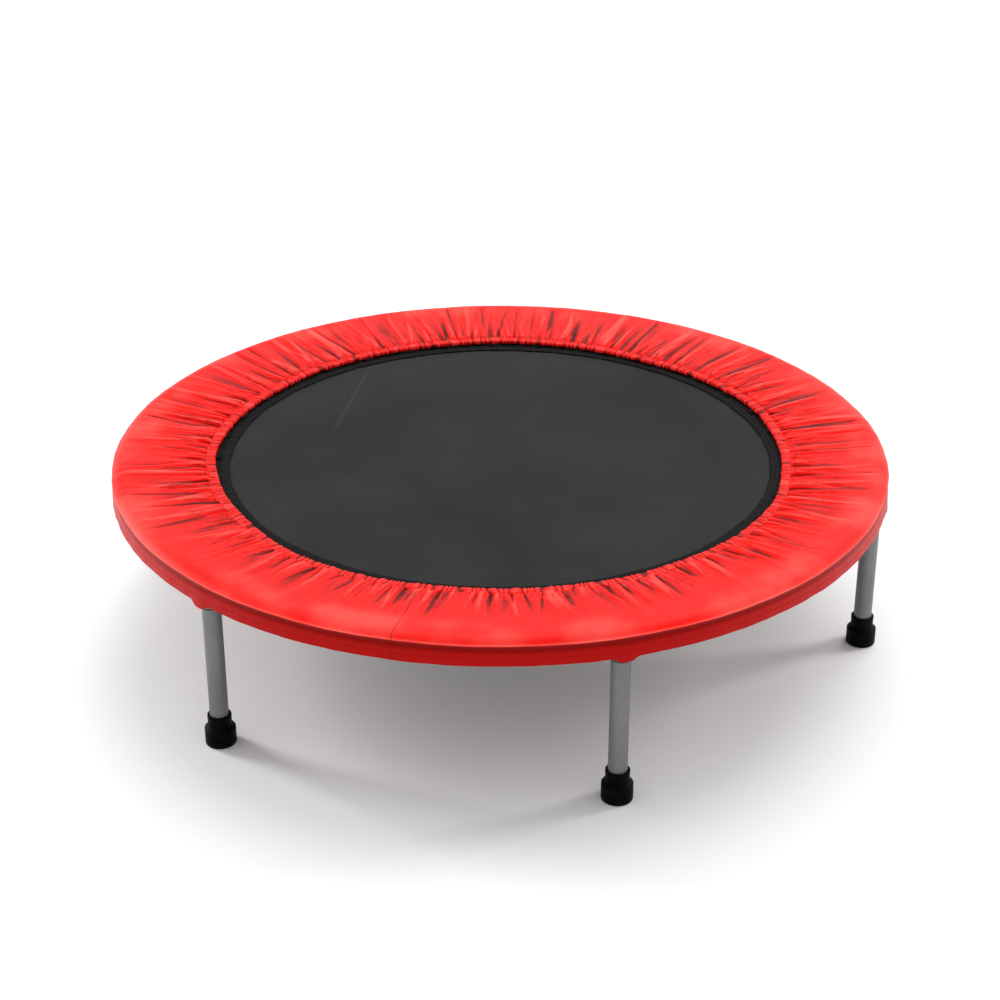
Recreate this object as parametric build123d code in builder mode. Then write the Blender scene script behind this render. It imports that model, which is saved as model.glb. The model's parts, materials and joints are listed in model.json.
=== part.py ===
from build123d import *
from math import cos, radians, sin, tan
import os

# Mini trampoline: a welded ring on six screw-in legs, a sprung mat and an elasticated cover.
# Millimetres, +Z up. The origin is on the floor, under the centre of the mat, and one leg
# stands on the -Y side. Radii are measured from the Z axis.

# ---- driving dimensions -----------------------------------------------------------------
overall_diameter = 965.0
ring_height = 205.3        # middle of the ring tube above the floor
ring_tube_radius = 12.5
ring_tube_wall = 1.2

cloth = 1.0                # thickness of the cover's cloth as a solid
foam = 2.4                 # foam strip under the cover
layer_gap = 0.3            # air between tube, foam and cover
top_slope = 3.2            # degrees that the cover's top falls towards the mat
seam_angle = 35.0          # where the cover's top meets its skirt, in degrees round the tube
skirt_bottom = 191.7
cover_inner_radius = 356.0
casing_width = 11.0        # the elastic's tunnel at the cover's inner edge
casing_height = 5.0
casing_cloth = 0.8
elastic_radius = 1.6
foam_inner_radius = 388.0
foam_end_angle = -15.0

leg_count = 6
leg_tube_radius = 11.0
leg_tube_wall = 1.2
leg_floor = 6.0            # rubber under the end of the leg tube
socket_bottom = 183.5
socket_collar_radius = 13.0
socket_sleeve_radius = 9.0
socket_top = 208.0
socket_hole_gap = 0.6      # radial room in the punched hole round the sleeve
socket_edge = 0.8
stud_radius = 5.0          # M10
stud_top = 205.0
stud_bottom = 160.0
stud_lead_in = 1.0
washer_radius = 12.0
washer_height = 2.0
washer_gap = 0.2           # radial clearance of the washer on the stud
plug_length = 24.0
running_gap = 0.05         # radial clearance of stud, plug and foot

foot_radius = 18.0
foot_base_height = 20.5
foot_step_height = 4.0
foot_collar_radius = 14.0
foot_height = 38.5
foot_taper = 0.5           # the collar narrows by this towards the step
foot_edge = 2.0
foot_lip = 1.0             # rounding at the top of the collar
foot_groove = 0.6

spring_count = 36
spring_start = 5.0         # degrees, half a pitch from the legs
coil_radius = 7.5
wire_radius = 1.3
hook_radius = 4.5
coil_outer_end = 443.0
hook_hole_radius = 2.2
hook_hole_depth = 7.0      # enough to go through the inner wall of the bent tube
hook_reach = 459.0         # where the outer hook turns down inside the tube
hook_bend = 4.0
hook_tail = 3.0

mat_radius = 362.0
mat_thickness = 1.6
band_inner_radius = 338.0
band_outer_radius = 364.0
band_thickness = 1.5
loop_start_radius = 350.0
loop_half_width = 8.0
loop_webbing = 1.1
v_bar_radius = 366.0       # where the V-ring's straight bar lies
v_half_width = 15.0
v_length = 24.0
v_wire_radius = 1.5
loop_gap = 0.2             # air between the V-ring and its webbing
v_corner = 3.5

# ---- values that follow -----------------------------------------------------------------
section_angle = 360 / leg_count
ring_radius = overall_diameter / 2 - ring_tube_radius - 2 * layer_gap - foam - cloth
foam_inner = ring_tube_radius + layer_gap
foam_outer = foam_inner + foam
cover_inner = foam_outer + layer_gap
cover_outer = cover_inner + cloth
ring_bottom = ring_height - ring_tube_radius
leg_tube_top = socket_bottom - washer_height
loop_inner = v_wire_radius + loop_gap
loop_outer = loop_inner + loop_webbing
v_tip_radius = (
    v_bar_radius + v_length
    - v_corner / sin(Vector(v_length, v_half_width).get_angle(Vector(1, 0)) * radians(1))
    + v_corner
)
hook_centre = v_tip_radius - v_wire_radius - wire_radius + hook_radius - layer_gap
coil_inner_end = hook_centre + hook_radius - wire_radius / 2

os.makedirs("parts", exist_ok=True)


def save(piece, name):
    """Label a finished part and write it as one STEP file."""
    piece.label = name
    export_step(piece, f"parts/{name}.step")


def leg_angle(number):
    """Degrees from +X to a leg; leg 1 is at -Y and they run anticlockwise."""
    return -90 + section_angle * (number - 1)


def leg_place(number):
    """Where a leg's axis stands on the floor."""
    angle = radians(leg_angle(number))
    return Location((ring_radius * cos(angle), ring_radius * sin(angle), 0))


def rim(radius, angle):
    """A point round the ring tube's middle, in the XZ plane; 90 degrees is the top."""
    return (
        ring_radius + radius * cos(radians(angle)),
        ring_height + radius * sin(radians(angle)),
    )


def top_line(radius, distance):
    """A point at that distance from the Z axis on the slope that leaves the rim's top."""
    edge = rim(radius, 90 + top_slope)
    return (distance, edge[1] - (edge[0] - distance) * tan(radians(top_slope)))


# ---- the frame --------------------------------------------------------------------------
# The ring is six bent steel tubes, welded end to end midway between the legs. Each has a
# hole in its inner wall for every spring hook, and one in its underside for the leg socket.
with BuildPart() as ring_section:
    with BuildSketch(Plane.XZ.rotated((0, 0, -section_angle / 2))):
        with Locations((ring_radius, ring_height)):
            Circle(ring_tube_radius)
            Circle(ring_tube_radius - ring_tube_wall, mode=Mode.SUBTRACT)
    revolve(axis=Axis.Z, revolution_arc=section_angle)
    with Locations((ring_radius, 0, ring_bottom)):
        Cylinder(
            socket_sleeve_radius + socket_hole_gap, ring_tube_radius, mode=Mode.SUBTRACT
        )
    with Locations((0, 0, ring_height)):
        with PolarLocations(
            ring_radius - ring_tube_radius,
            spring_count // leg_count,
            spring_start - section_angle / 2,
            section_angle - 2 * spring_start,
            endpoint=True,
        ):
            Cylinder(
                hook_hole_radius, hook_hole_depth, rotation=(0, 90, 0), mode=Mode.SUBTRACT
            )

# A turned socket: a collar under the ring, and a tapped sleeve that stands inside the tube.
with BuildPart() as leg_socket:
    with BuildSketch(Plane.XY.offset(socket_bottom)):
        Circle(socket_collar_radius)
    extrude(amount=ring_bottom - layer_gap - socket_bottom)
    chamfer(leg_socket.edges().filter_by(GeomType.CIRCLE), length=socket_edge)
    with BuildSketch(Plane.XY.offset(socket_bottom)):
        Circle(socket_sleeve_radius)
    extrude(amount=socket_top - socket_bottom)
    with BuildSketch(Plane.XY.offset(socket_bottom)):
        Circle(stud_radius + running_gap)
    extrude(amount=socket_top - socket_bottom, mode=Mode.SUBTRACT)

# ---- a leg ------------------------------------------------------------------------------
with BuildPart() as leg_washer:
    with BuildSketch(Plane.XY.offset(leg_tube_top)):
        Circle(washer_radius)
        Circle(stud_radius + washer_gap, mode=Mode.SUBTRACT)
    extrude(amount=washer_height)

with BuildPart() as leg_tube:
    with BuildSketch(Plane.XY.offset(leg_floor)):
        Circle(leg_tube_radius)
        Circle(leg_tube_radius - leg_tube_wall, mode=Mode.SUBTRACT)
    extrude(amount=leg_tube_top - leg_floor)

with BuildPart() as leg_plug:
    with BuildSketch(Plane.XY.offset(leg_tube_top - plug_length)):
        Circle(leg_tube_radius - leg_tube_wall - running_gap)
        Circle(stud_radius + running_gap, mode=Mode.SUBTRACT)
    extrude(amount=plug_length)

with BuildPart() as leg_stud:
    with BuildSketch(Plane.XY.offset(stud_bottom)):
        Circle(stud_radius)
    extrude(amount=stud_top - stud_bottom)
    chamfer(leg_stud.edges().group_by(Axis.Z)[-1], length=stud_lead_in)

# A moulded rubber foot: a wide base, a sloping step and a collar that grips the tube.
with BuildPart() as leg_foot:
    with BuildSketch(Plane.XZ):
        with BuildLine():
            Polyline(
                (0, 0),
                (foot_radius, 0),
                (foot_radius, foot_base_height),
                (foot_collar_radius - foot_taper, foot_base_height + foot_step_height),
                (foot_collar_radius, foot_height),
                (0, foot_height),
                close=True,
            )
        make_face()
    revolve(axis=Axis.Z)
    fillet(leg_foot.edges().group_by(Axis.Z)[0], radius=foot_edge)
    fillet(leg_foot.edges().group_by(Axis.Z)[-1], radius=foot_lip)
    with BuildSketch(Plane.XY.offset(leg_floor)):
        Circle(leg_tube_radius + running_gap)
    extrude(amount=foot_height, mode=Mode.SUBTRACT)
    with Locations((0, 0, foot_base_height / 2)):
        Torus(foot_radius, foot_groove, mode=Mode.SUBTRACT)

for number in range(1, leg_count + 1):
    place = leg_place(number)
    save(ring_section.part.moved(Rotation(0, 0, leg_angle(number))), f"ring_section_{number}")
    save(leg_socket.part.moved(place), f"leg_{number}_socket")
    save(leg_washer.part.moved(place), f"leg_{number}_washer")
    save(leg_tube.part.moved(place), f"leg_{number}_tube")
    save(leg_plug.part.moved(place), f"leg_{number}_plug")
    save(leg_stud.part.moved(place), f"leg_{number}_stud")
    save(leg_foot.part.moved(place), f"leg_{number}_foot")

# ---- the mat and what is sewn to it -----------------------------------------------------
with BuildPart() as mat:
    with BuildSketch(Plane.XY.offset(ring_height - mat_thickness)):
        Circle(mat_radius)
    extrude(amount=mat_thickness)
save(mat.part, "mat")

with BuildPart() as mat_edge_band:
    with BuildSketch(Plane.XY.offset(ring_height)):
        Circle(band_outer_radius)
        Circle(band_inner_radius, mode=Mode.SUBTRACT)
    extrude(amount=band_thickness)
save(mat_edge_band.part, "mat_edge_band")

# A webbing loop folds round the V-ring's bar, with one ply over the mat and one under it.
with BuildPart() as mat_loop:
    with BuildSketch(Plane.XZ):
        with Locations((v_bar_radius, ring_height)):
            Circle(loop_outer)
        with Locations(((loop_start_radius + v_bar_radius) / 2, ring_height)):
            Rectangle(v_bar_radius - loop_start_radius, 2 * loop_outer)
        with Locations((v_bar_radius, ring_height)):
            Circle(loop_inner, mode=Mode.SUBTRACT)
        with Locations(((loop_start_radius + v_bar_radius) / 2, ring_height)):
            Rectangle(v_bar_radius - loop_start_radius, 2 * loop_inner, mode=Mode.SUBTRACT)
    extrude(amount=loop_half_width, both=True)

with BuildPart() as v_ring:
    with BuildLine(Plane.XY.offset(ring_height)):
        v_line = FilletPolyline(
            (v_bar_radius, -v_half_width),
            (v_bar_radius + v_length, 0),
            (v_bar_radius, v_half_width),
            radius=v_corner,
            close=True,
        )
    with BuildSketch(Plane(v_line @ 0, z_dir=v_line % 0)):
        Circle(v_wire_radius)
    sweep(path=v_line)

# An extension spring as a plain sleeve the size of its coils, with its two real hooks: an
# eye linked through the V-ring, and a tail that goes through the ring's wall and turns down.
with BuildPart() as spring:
    with BuildSketch(Plane.YZ.offset(coil_inner_end)):
        with Locations((0, ring_height)):
            Circle(coil_radius)
    extrude(amount=coil_outer_end - coil_inner_end)
    with BuildSketch(Plane.YZ.offset(coil_inner_end + 2 * wire_radius)):
        with Locations((0, ring_height)):
            Circle(coil_radius - 2 * wire_radius)
    extrude(amount=coil_outer_end - coil_inner_end - 4 * wire_radius, mode=Mode.SUBTRACT)
    with Locations((hook_centre, 0, ring_height)):
        Torus(hook_radius, wire_radius, rotation=(90, 0, 0))
    with BuildLine(Plane.XZ):
        straight = Line((coil_outer_end - wire_radius, ring_height), (hook_reach, ring_height))
        turn = TangentArc(
            straight @ 1, (hook_reach + hook_bend, ring_height - hook_bend), tangent=straight % 1
        )
        Line(turn @ 1, turn @ 1 - Vector(0, 0, hook_tail))
    with BuildSketch(Plane.YZ.offset(coil_outer_end - wire_radius)):
        with Locations((0, ring_height)):
            Circle(wire_radius)
    sweep()

for piece, name in ((mat_loop, "mat_loops"), (v_ring, "v_rings"), (spring, "springs")):
    with BuildPart() as group:
        with PolarLocations(0, spring_count, spring_start):
            add(piece.part)
    save(group.part, name)

# ---- the cover --------------------------------------------------------------------------
# Foam strip, cloth top and skirt all follow the same line: a slope, then round the tube.
with BuildPart() as foam_pad:
    with BuildSketch(Plane.XZ):
        with BuildLine():
            over = Line(top_line(foam_outer, foam_inner_radius), rim(foam_outer, 90 + top_slope))
            outside = CenterArc(
                (ring_radius, ring_height), foam_outer, 90 + top_slope, foam_end_angle - 90 - top_slope
            )
            hem = Line(rim(foam_outer, foam_end_angle), rim(foam_inner, foam_end_angle))
            inside = CenterArc(
                (ring_radius, ring_height), foam_inner, 90 + top_slope, foam_end_angle - 90 - top_slope
            )
            under = Line(rim(foam_inner, 90 + top_slope), top_line(foam_inner, foam_inner_radius))
            Line(under @ 1, over @ 0)
        make_face()
    revolve(axis=Axis.Z)
save(foam_pad.part, "foam_pad")

cover_start = cover_inner_radius + casing_width + layer_gap
with BuildPart() as cover_top:
    with BuildSketch(Plane.XZ):
        with BuildLine():
            over = Line(top_line(cover_outer, cover_start), rim(cover_outer, 90 + top_slope))
            CenterArc(
                (ring_radius, ring_height), cover_outer, 90 + top_slope, seam_angle - 90 - top_slope
            )
            Line(rim(cover_outer, seam_angle), rim(cover_inner, seam_angle))
            CenterArc(
                (ring_radius, ring_height), cover_inner, 90 + top_slope, seam_angle - 90 - top_slope
            )
            under = Line(rim(cover_inner, 90 + top_slope), top_line(cover_inner, cover_start))
            Line(under @ 1, over @ 0)
        make_face()
    revolve(axis=Axis.Z)
save(cover_top.part, "cover_top")

with BuildPart() as cover_skirt:
    with BuildSketch(Plane.XZ):
        with BuildLine():
            Line(rim(cover_inner, seam_angle), rim(cover_outer, seam_angle))
            CenterArc((ring_radius, ring_height), cover_outer, 0, seam_angle)
            Polyline(
                rim(cover_outer, 0),
                (ring_radius + cover_outer, skirt_bottom),
                (ring_radius + cover_inner, skirt_bottom),
                rim(cover_inner, 0),
            )
            CenterArc((ring_radius, ring_height), cover_inner, 0, seam_angle)
        make_face()
    revolve(axis=Axis.Z)
save(cover_skirt.part, "cover_skirt")

# The cover's inner edge is a sewn tunnel with an elastic cord inside it.
casing_middle = (
    cover_inner_radius + casing_width / 2,
    top_line(cover_outer, cover_inner_radius)[1] + cloth / 2 - casing_height / 2,
)
with BuildPart() as elastic_casing:
    with BuildSketch(Plane.XZ):
        with Locations(casing_middle):
            SlotOverall(casing_width, casing_height)
            SlotOverall(
                casing_width - 2 * casing_cloth, casing_height - 2 * casing_cloth, mode=Mode.SUBTRACT
            )
    revolve(axis=Axis.Z)
save(elastic_casing.part, "elastic_casing")

with BuildPart() as elastic_cord:
    with BuildSketch(Plane.XZ):
        with Locations(casing_middle):
            Circle(elastic_radius)
    revolve(axis=Axis.Z)
save(elastic_cord.part, "elastic_cord")

print(f"ring radius {ring_radius:.1f}, V-ring tip {v_tip_radius:.1f}, hook eye {hook_centre:.1f}")
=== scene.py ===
# %% [markdown]
# # Dressing a mini trampoline
# The frame below is the engineered part: a steel ring, six screw-in legs, a sprung mat and
# plain solids that hold the places of everything soft. This lesson keeps every hard piece
# where it is and gives it a finish, and sews new cloth over the plain solids.

# %% Load the frame
import json
from math import atan2, cos, pi, radians, sin, tan, tau

import bmesh
import bpy
import numpy as np
from mathutils import Matrix, Vector


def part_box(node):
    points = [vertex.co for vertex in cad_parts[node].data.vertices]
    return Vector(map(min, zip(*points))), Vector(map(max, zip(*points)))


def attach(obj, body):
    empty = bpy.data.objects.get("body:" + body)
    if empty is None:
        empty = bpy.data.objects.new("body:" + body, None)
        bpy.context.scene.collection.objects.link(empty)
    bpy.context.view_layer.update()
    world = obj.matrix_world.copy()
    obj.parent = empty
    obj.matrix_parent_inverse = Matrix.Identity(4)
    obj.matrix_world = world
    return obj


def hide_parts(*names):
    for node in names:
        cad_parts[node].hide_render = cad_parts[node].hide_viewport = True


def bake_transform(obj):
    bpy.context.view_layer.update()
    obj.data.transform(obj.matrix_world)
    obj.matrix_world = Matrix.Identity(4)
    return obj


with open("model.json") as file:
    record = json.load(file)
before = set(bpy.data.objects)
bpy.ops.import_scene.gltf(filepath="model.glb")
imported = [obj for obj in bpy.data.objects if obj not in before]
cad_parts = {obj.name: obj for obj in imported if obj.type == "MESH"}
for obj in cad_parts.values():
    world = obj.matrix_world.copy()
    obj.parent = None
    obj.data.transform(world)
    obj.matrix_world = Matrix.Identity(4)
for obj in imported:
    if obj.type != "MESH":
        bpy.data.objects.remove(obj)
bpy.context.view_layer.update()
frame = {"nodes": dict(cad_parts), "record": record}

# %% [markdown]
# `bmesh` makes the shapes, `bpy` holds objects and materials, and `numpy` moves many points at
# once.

nodes = frame["nodes"]

# %% [markdown]
# ## Where things are
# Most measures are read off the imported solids, so the cloth follows the steel if the design
# ever changes. A box can't tell the tunnel's width, the slope of the cover or the number of
# springs, so those three are stated.

# %% Read the sizes
mm = 0.001
legs = range(1, 7)


def high(node):
    return Vector(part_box(node)[1])


def low(node):
    return Vector(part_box(node)[0])


def leg_place(number):
    """The middle of a leg on the floor."""
    middle = (high(f"leg_{number}_foot") + low(f"leg_{number}_foot")) / 2
    return Vector((middle.x, middle.y, 0))


ring_radius = leg_place(1).length
tube_radius = (high("ring_section_1").z - low("ring_section_1").z) / 2
ring_height = low("ring_section_1").z + tube_radius
rim_radius = high("cover_skirt").x - ring_radius
seam_height = high("cover_skirt").z
hem_height = low("cover_skirt").z
casing_outer = high("elastic_casing").x
casing_width = 11 * mm
casing_height = high("elastic_casing").z - low("elastic_casing").z
casing_middle = (high("elastic_casing").z + low("elastic_casing").z) / 2
mat_radius = high("mat").x
mat_top = high("mat").z
top_slope = radians(3.2)
spring_count = 36
leg_angles = [atan2(leg_place(n).y, leg_place(n).x) for n in legs]
print(f"ring {ring_radius:.4f} m, tube {tube_radius:.4f} m, mat {mat_radius:.4f} m")

# %% [markdown]
# ## The camera first
# A low, wide object shows best from a little above. A wide lens close by would swell the
# near side, so a longish lens stands 2.7 m away and keeps the circle a clean ellipse. The
# camera's place is given in radii of the cover, turned a little off the nearest leg.

# %% Set up the camera
camera_turn = radians(-16.15)
camera_pitch = radians(27.04)
overall_radius = high("cover_skirt").x
camera_back = 4.7945 * overall_radius
camera_height = 2.742 * overall_radius

camera_data = bpy.data.cameras.new("camera")
camera_data.lens = 73.4
camera_data.sensor_width = 36
camera = bpy.data.objects.new("camera", camera_data)
bpy.context.collection.objects.link(camera)
camera.location = (sin(camera_turn) * camera_back, -cos(camera_turn) * camera_back, camera_height)
camera.rotation_euler = (pi / 2 - camera_pitch, 0, camera_turn)
bpy.context.scene.camera = camera
print("camera stands", round(camera.location.length, 2), "m from the floor's middle")

# %% [markdown]
# ## Writing shaders as sums
# A node tree is hard to read as a list of links. The `Wire` class holds one output socket,
# and adding, multiplying or subtracting wires adds the Math node that does it, in either
# order.

# %% A wire that can be added and multiplied
class Wire:
    """An output socket that arithmetic works on."""

    def __init__(self, finish, socket):
        self.finish = finish
        self.socket = socket

    def math(self, operation, *others):
        inputs = dict(enumerate((self, *others)))
        return self.finish.node("ShaderNodeMath", {"operation": operation}, inputs)

    def __add__(self, other):
        return self.math("ADD", other)

    def __radd__(self, other):
        return self.math("ADD", other)

    def __mul__(self, other):
        return self.math("MULTIPLY", other)

    def __rmul__(self, other):
        return self.math("MULTIPLY", other)

    def __sub__(self, other):
        return self.math("SUBTRACT", other)

    def __rsub__(self, other):
        return self.finish.node("ShaderNodeMath", {"operation": "SUBTRACT"}, {0: other, 1: self})

    def __pow__(self, other):
        return self.math("POWER", other)

    def band(self, start, stop):
        """0 below start, 1 above stop and a smooth step between them."""
        settings = {"interpolation_type": "SMOOTHSTEP"}
        sockets = {"Value": self, "From Min": start, "From Max": stop}
        return self.finish.node("ShaderNodeMapRange", settings, sockets)

# %% [markdown]
# A `Finish` is one material. Nodes could be made one by one with a line for each socket, but
# one method that takes a node's type, its settings and its sockets keeps every recipe below
# to a few expressions.

# %% A material with one way to make a node
class Finish:
    """A material on the Principled shader. Keyword arguments set the shader's own sockets."""

    def __init__(self, name, **constants):
        self.material = bpy.data.materials.new(name)
        self.material.use_nodes = True
        self.tree = self.material.node_tree
        self.shader = self.tree.nodes["Principled BSDF"]
        for socket, value in constants.items():
            self.shader.inputs[socket.replace("_", " ")].default_value = value

    def node(self, kind, settings=None, sockets=None, output=0):
        """Make a node: its settings first, then a value or a wire for each named socket."""
        made = self.tree.nodes.new(kind)
        for setting, value in (settings or {}).items():
            setattr(made, setting, value)
        for socket, value in (sockets or {}).items():
            self.feed(made.inputs[socket], value)
        return Wire(self, made.outputs[output])

    def feed(self, socket, value):
        if isinstance(value, Wire):
            self.tree.links.new(value.socket, socket)
        else:
            socket.default_value = value

    def place(self):
        """The object's own coordinates, in metres."""
        return self.node("ShaderNodeTexCoord", output=3)

    def sides(self):
        """x, y and z as three wires."""
        parts = self.node("ShaderNodeSeparateXYZ", sockets={0: self.place()})
        outputs = parts.socket.node.outputs
        return [Wire(self, outputs[side]) for side in range(3)]

    def attribute(self, name):
        """A number stored on the piece's points."""
        return self.node("ShaderNodeAttribute", {"attribute_name": name}, output=2)

    def noise(self, scale, detail=3.0, where=None, roughness=0.55):
        sockets = {"Scale": scale, "Detail": detail, "Roughness": roughness}
        sockets["Vector"] = where or self.place()
        return self.node("ShaderNodeTexNoise", sockets=sockets)

    def mix(self, factor, first, second):
        """A colour between two colours."""
        settings = {"data_type": "RGBA"}
        return self.node("ShaderNodeMix", settings, {0: factor, 6: first, 7: second}, output=2)

    def bump(self, height, distance, strength=1.0):
        sockets = {"Height": height, "Distance": distance, "Strength": strength}
        self.feed(self.shader.inputs["Normal"], self.node("ShaderNodeBump", sockets=sockets))

    def set(self, **wires):
        for socket, value in wires.items():
            self.feed(self.shader.inputs[socket.replace("_", " ")], value)


def rgb(red, green, blue):
    return (red, green, blue, 1.0)

# %% [markdown]
# ## Shapes that go round
# Nearly everything here is round, so the lathe is the main tool: an outline of radius and
# height points is spun about the upright axis. Each point also remembers how far along the
# outline it is, because `spin` carries that number to every copy, and the folds need it.
# Spinning a whole circle in fine steps is slow, so a 24th of it is spun and then copied
# round, and the doubled points where the copies meet are merged. The number of steps is
# therefore always a multiple of 24.

# %% The lathe
shares = 24


def link(name, bm):
    """Turn a bmesh into an object at the origin with smooth faces."""
    mesh = bpy.data.meshes.new(name)
    bm.to_mesh(mesh)
    bm.free()
    mesh.shade_smooth()
    piece = bpy.data.objects.new(name, mesh)
    bpy.context.collection.objects.link(piece)
    return piece


def lathe(name, outline, steps, closed=False):
    """Spin an outline of (radius, height) points about Z: one share, then its copies."""
    bm = bmesh.new()
    along = bm.verts.layers.float.new("along")
    points = [bm.verts.new((radius, 0, height)) for radius, height in outline]
    distance = 0
    for before, point in zip(points, points[1:]):
        distance += (point.co - before.co).length
        point[along] = distance
    edges = [bm.edges.new(pair) for pair in zip(points, points[1:])]
    if closed:
        edges.append(bm.edges.new((points[-1], points[0])))
    bmesh.ops.spin(
        bm, geom=points + edges, cent=(0, 0, 0), axis=(0, 0, 1), angle=tau / shares,
        steps=steps // shares, use_merge=False, use_duplicate=False,
    )
    bmesh.ops.spin(
        bm, geom=bm.verts[:] + bm.edges[:] + bm.faces[:], cent=(0, 0, 0), axis=(0, 0, 1),
        angle=tau * (shares - 1) / shares, steps=shares - 1, use_duplicate=True,
    )
    bmesh.ops.remove_doubles(bm, verts=bm.verts, dist=0.01 * mm)
    bmesh.ops.recalc_face_normals(bm, faces=bm.faces)
    return link(name, bm)


def ring_outline(middle, across, tall, points):
    """A rounded strip section, wide and low, with squared-off shoulders."""
    corner = 0.55        # 1 would be an ellipse and 0 a rectangle
    turns = [tau * step / points for step in range(points)]
    return [
        (
            middle[0] + across / 2 * np.sign(cos(a)) * abs(cos(a)) ** corner,
            middle[1] + tall / 2 * np.sign(sin(a)) * abs(sin(a)) ** corner,
        )
        for a in turns
    ]

# %% [markdown]
# Folds and ripples touch a hundred thousand points. A loop over them would take minutes, so
# a piece's points are taken out as an array, moved together and put back. Every gentle
# unevenness is one `ripple`: a few sines with whole numbers of waves, so the circle closes.

# %% Move points with arrays
def points_of(piece):
    """The piece's points as an array, with their radius and angle about the upright axis."""
    spots = np.empty(len(piece.data.vertices) * 3)
    piece.data.vertices.foreach_get("co", spots)
    spots = spots.reshape(-1, 3)
    return spots, np.hypot(spots[:, 0], spots[:, 1]), np.arctan2(spots[:, 1], spots[:, 0])


def along_of(piece):
    """How far along the lathe's outline each point is."""
    along = np.empty(len(piece.data.vertices))
    piece.data.attributes["along"].data.foreach_get("value", along)
    return along


def put_points(piece, radius, angle, height):
    spots = np.stack((radius * np.cos(angle), radius * np.sin(angle), height), axis=1)
    piece.data.vertices.foreach_set("co", spots.ravel())
    piece.data.update()


def remember(piece, name, values):
    """Store one number on each point for a material to read."""
    stored = piece.data.attributes.new(name, "FLOAT", "POINT")
    stored.data.foreach_set("value", np.asarray(values, dtype=np.float32))


def apart(angle, other):
    """The turn from one angle to another, between -pi and pi."""
    return (angle - other + pi) % tau - pi


def ripple(angle, random, waves, size):
    """A gentle wave round the circle that closes on itself: a few sines of mixed length."""
    total = np.zeros_like(angle)
    for count in waves:
        total += random.normal() * np.sin(count * angle + random.uniform(0, tau))
    return total * size / len(waves) ** 0.5

# %% [markdown]
# ## The gathered cover
# The real cover is a flat ring of thin polyester. Its inner edge is drawn in by elastic, so
# it stands in pleats there, and the pleats fade out towards the steel tube, where the cloth
# is pulled smooth. A cloth simulation could gather them, but it rounds off folds this small
# unless its mesh is very fine. Here a lathe makes the tight cloth and each pleat is then
# added as a ridge with its own angle, width, reach and lean from a seeded random source, so
# the folds stay crisp and the cover is the same on every run.

# %% The line of the cover
def rim_point(angle, radius):
    """A point round the middle of the tube, as (radius, height)."""
    return (ring_radius + radius * cos(angle), ring_height + radius * sin(angle))


def slope_point(distance, radius):
    """A point on the slope that falls from the top of the rim towards the mat."""
    edge = rim_point(pi / 2 + top_slope, radius)
    return (distance, edge[1] - (edge[0] - distance) * tan(top_slope))


def straight(start, end, share):
    """A point part of the way from one (radius, height) point to another."""
    return tuple(a + (b - a) * share for a, b in zip(start, end))


crown = rim_point(pi / 2 + top_slope, rim_radius)
edge_fold = (ring_radius + rim_radius - 1.2 * mm, seam_height + 0.6 * mm)
fold_bulge = 1.3 * mm        # how far the cloth rounds out between crown and folded edge


def cover_outline(slope_points=29, rim_points=12):
    """From the elastic's tunnel up the slope to the crown, then tight to the folded edge."""
    start = casing_outer - 2.5 * mm
    slope = [
        slope_point(start + (crown[0] - start) * (step / slope_points) ** 1.3, rim_radius)
        for step in range(slope_points)
    ]
    rim = []
    for step in range(rim_points + 1):
        radius, height = straight(crown, edge_fold, step / rim_points)
        bulge = fold_bulge * sin(pi * step / rim_points)
        rim.append((radius + bulge / 2, height + bulge))
    return slope + rim


# %% [markdown]
# Elastic never lies in a perfect circle. The edge wanders in and out by a few millimetres,
# and one function gives that line, because the cover and its tunnel must both follow it.

# %% The wandering edge
cover_random = np.random.default_rng(11)
edge_waves = [2, 3, 5, 7, 11, 16, 23]
edge_pull = -1.8 * mm        # the elastic draws the whole edge in by this
edge_phases = cover_random.uniform(0, tau, len(edge_waves))
edge_sizes = cover_random.normal(0, 1, len(edge_waves))


def edge_drift(angle):
    """How far the elastic edge wanders in and out, in metres."""
    wave = sum(
        size * np.sin(count * angle + phase)
        for count, phase, size in zip(edge_waves, edge_phases, edge_sizes)
    )
    return edge_pull + 0.9 * mm * wave


print("edge wanders", np.ptp(edge_drift(np.linspace(0, tau, 720))).round(4), "m in all")

# %% [markdown]
# Four kinds of fold lie over each other: short gathers right at the elastic, crisp ridges
# that run half way, a few broad swells, and narrow slits where two folds press together.
# Each ridge is a bell across its width that fades along its reach, and it leans, because
# pulled cloth never runs quite radially.

# %% Pleats
pleat_kinds = (
    # how many, width (mm), height (mm), reach (mm)
    (330, (1.6, 3.0), (0.9, 2.4), (10, 32)),
    (240, (2.2, 4.0), (1.8, 3.8), (46, 104)),
    (60, (6.0, 10.0), (1.2, 2.6), (66, 108)),
    (120, (1.2, 2.1), (-4.2, -2.0), (28, 96)),
)


def pleat_reach(angle):
    """Pleats run furthest at the two sides and are shortest at the front."""
    from_front = apart(angle, camera_turn - pi / 2)
    return 0.62 - 0.30 * cos(from_front) - 0.16 * cos(2 * from_front)


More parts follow.
